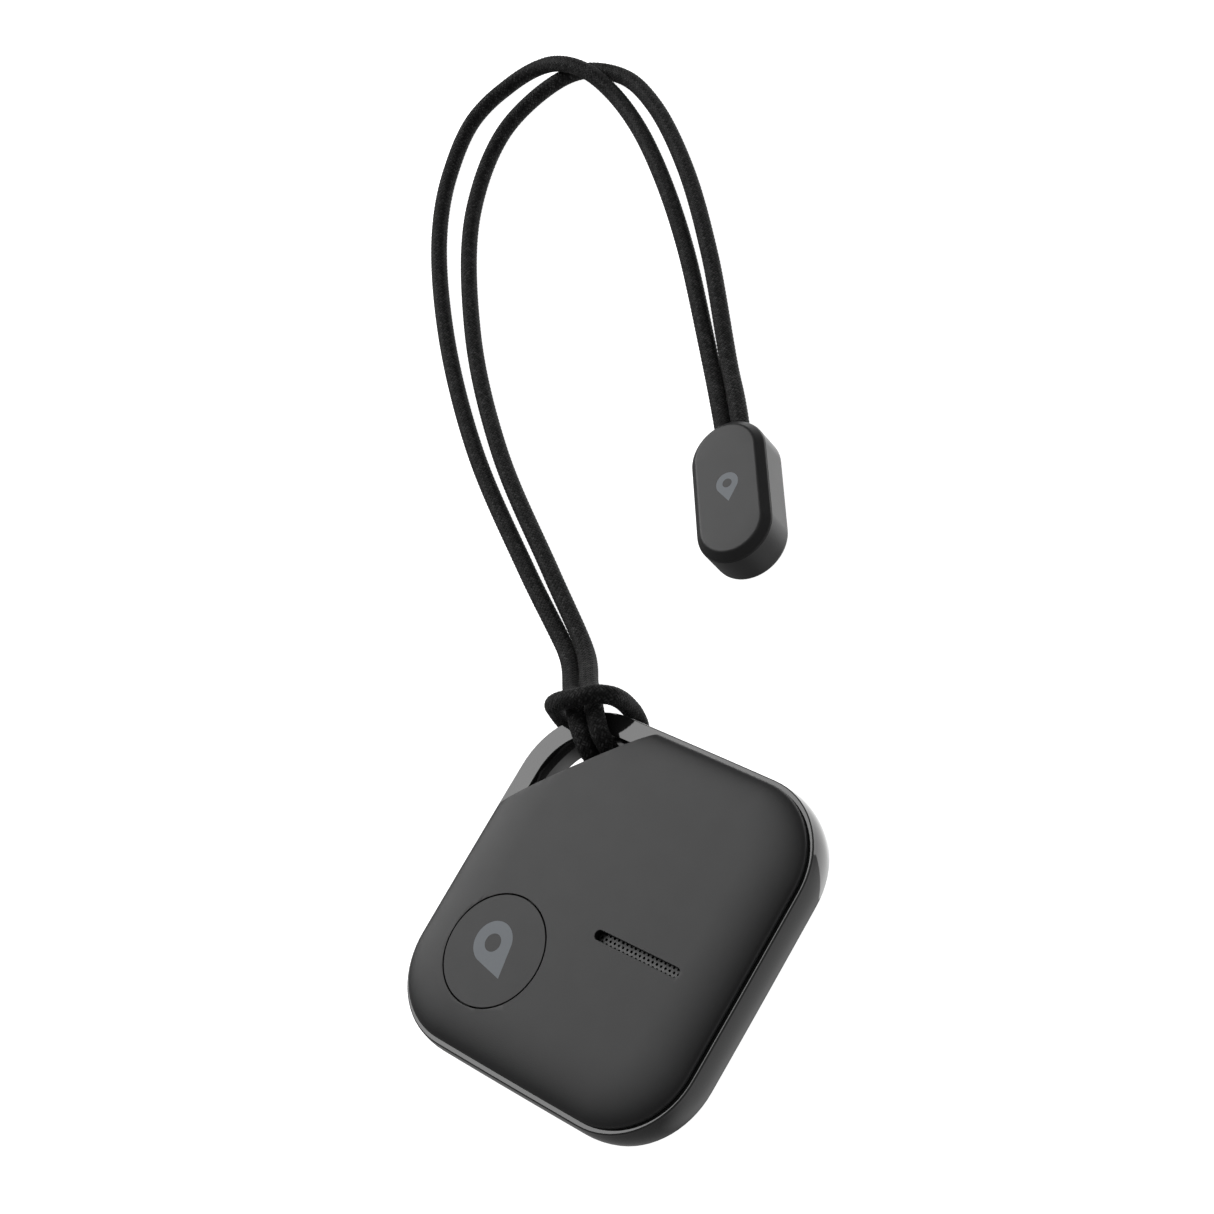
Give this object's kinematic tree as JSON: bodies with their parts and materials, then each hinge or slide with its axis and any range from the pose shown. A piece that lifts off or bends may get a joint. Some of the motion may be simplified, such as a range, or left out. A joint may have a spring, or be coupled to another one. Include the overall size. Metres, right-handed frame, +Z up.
{
  "type": "bluetooth tracker tag",
  "caption": "Square tracker tag with round corners, corner eyelet, flush round button and speaker slot, on a doubled braided cord lanyard with a stadium-shaped end bead.",
  "frame": {"origin": "on the surface that the tag lies on, under the middle of the tag's body", "axes": "+Z up out of the front face, +X and +Y along the tag's sides; the eyelet is at the corner towards -X and +Y, the button at the corner towards -X and -Y"},
  "size_m": [0.1061, 0.1139, 0.0105],
  "materials": {
    "soft_touch": "soft-touch matte, very fine moulded grain",
    "gloss_frame": "polished gloss black",
    "icon_print": "printed inlay, satin",
    "bead_plastic": "satin moulded plastic",
    "cord_fabric": "round braided polyester cord",
    "rubber": "matte",
    "dust_cloth": "thin black woven dust cloth",
    "mesh_steel": "blackened perforated sheet",
    "steel": "bright nickel plated",
    "brass": "plain",
    "ceramic_tan": "satin",
    "ceramic_white": "satin",
    "board_green": "green solder mask",
    "inner_plastic": "plain moulded"
  },
  "bodies": {
    "tag": {"front_cover": "soft_touch", "rear_cover": "soft_touch", "mid_frame": "gloss_frame", "bead_icon": "icon_print", "bead_body": "bead_plastic", "bead_cap": "bead_plastic", "lanyard_cord": "cord_fabric", "front_seal": "rubber", "rear_seal": "rubber", "door_gasket": "rubber", "coin_cell_gasket": "rubber", "buzzer_foam_ring": "rubber", "cord_end_plug": "rubber", "speaker_mesh": "mesh_steel", "coin_cell_can": "steel", "coin_cell_anode": "steel", "contact_negative": "steel", "contact_positive": "steel", "radio_shield_can": "steel", "crystal": "steel", "board_screw_1": "steel", "board_screw_2": "steel", "board_screw_3": "steel", "buzzer_brass_disc": "brass", "buzzer_ceramic_disc": "ceramic_tan", "capacitor_1": "ceramic_tan", "capacitor_2": "ceramic_tan", "capacitor_3": "ceramic_tan", "chip_antenna": "ceramic_white", "circuit_board": "board_green", "inner_chassis": "inner_plastic", "switch_base": "inner_plastic", "speaker_dust_cloth": "dust_cloth"},
    "door": {"battery_door": "soft_touch"},
    "button": {"button_cap": "soft_touch", "button_icon": "icon_print"},
    "plunger": {"switch_plunger": "steel"}
  },
  "joints": [
    {"name": "button_press", "type": "slide", "parent": "tag", "child": "button", "axis": [0, 0, -1], "range_m": [0, 0.0003], "stiffness_N_per_m": 300, "springref_m": -0.0005},
    {"name": "plunger_press", "type": "slide", "parent": "tag", "child": "plunger", "axis": [0, 0, -1], "range_m": [0, 0.0003]},
    {"name": "battery_door_turn", "type": "hinge", "parent": "tag", "child": "door", "pos_m": [0, 0, 0], "axis": [0, 0, -1], "range_deg": [0, 30]}
  ],
  "couplings": [
    {"joint": "plunger_press", "follows": "button_press", "ratio": 1}
  ]
}
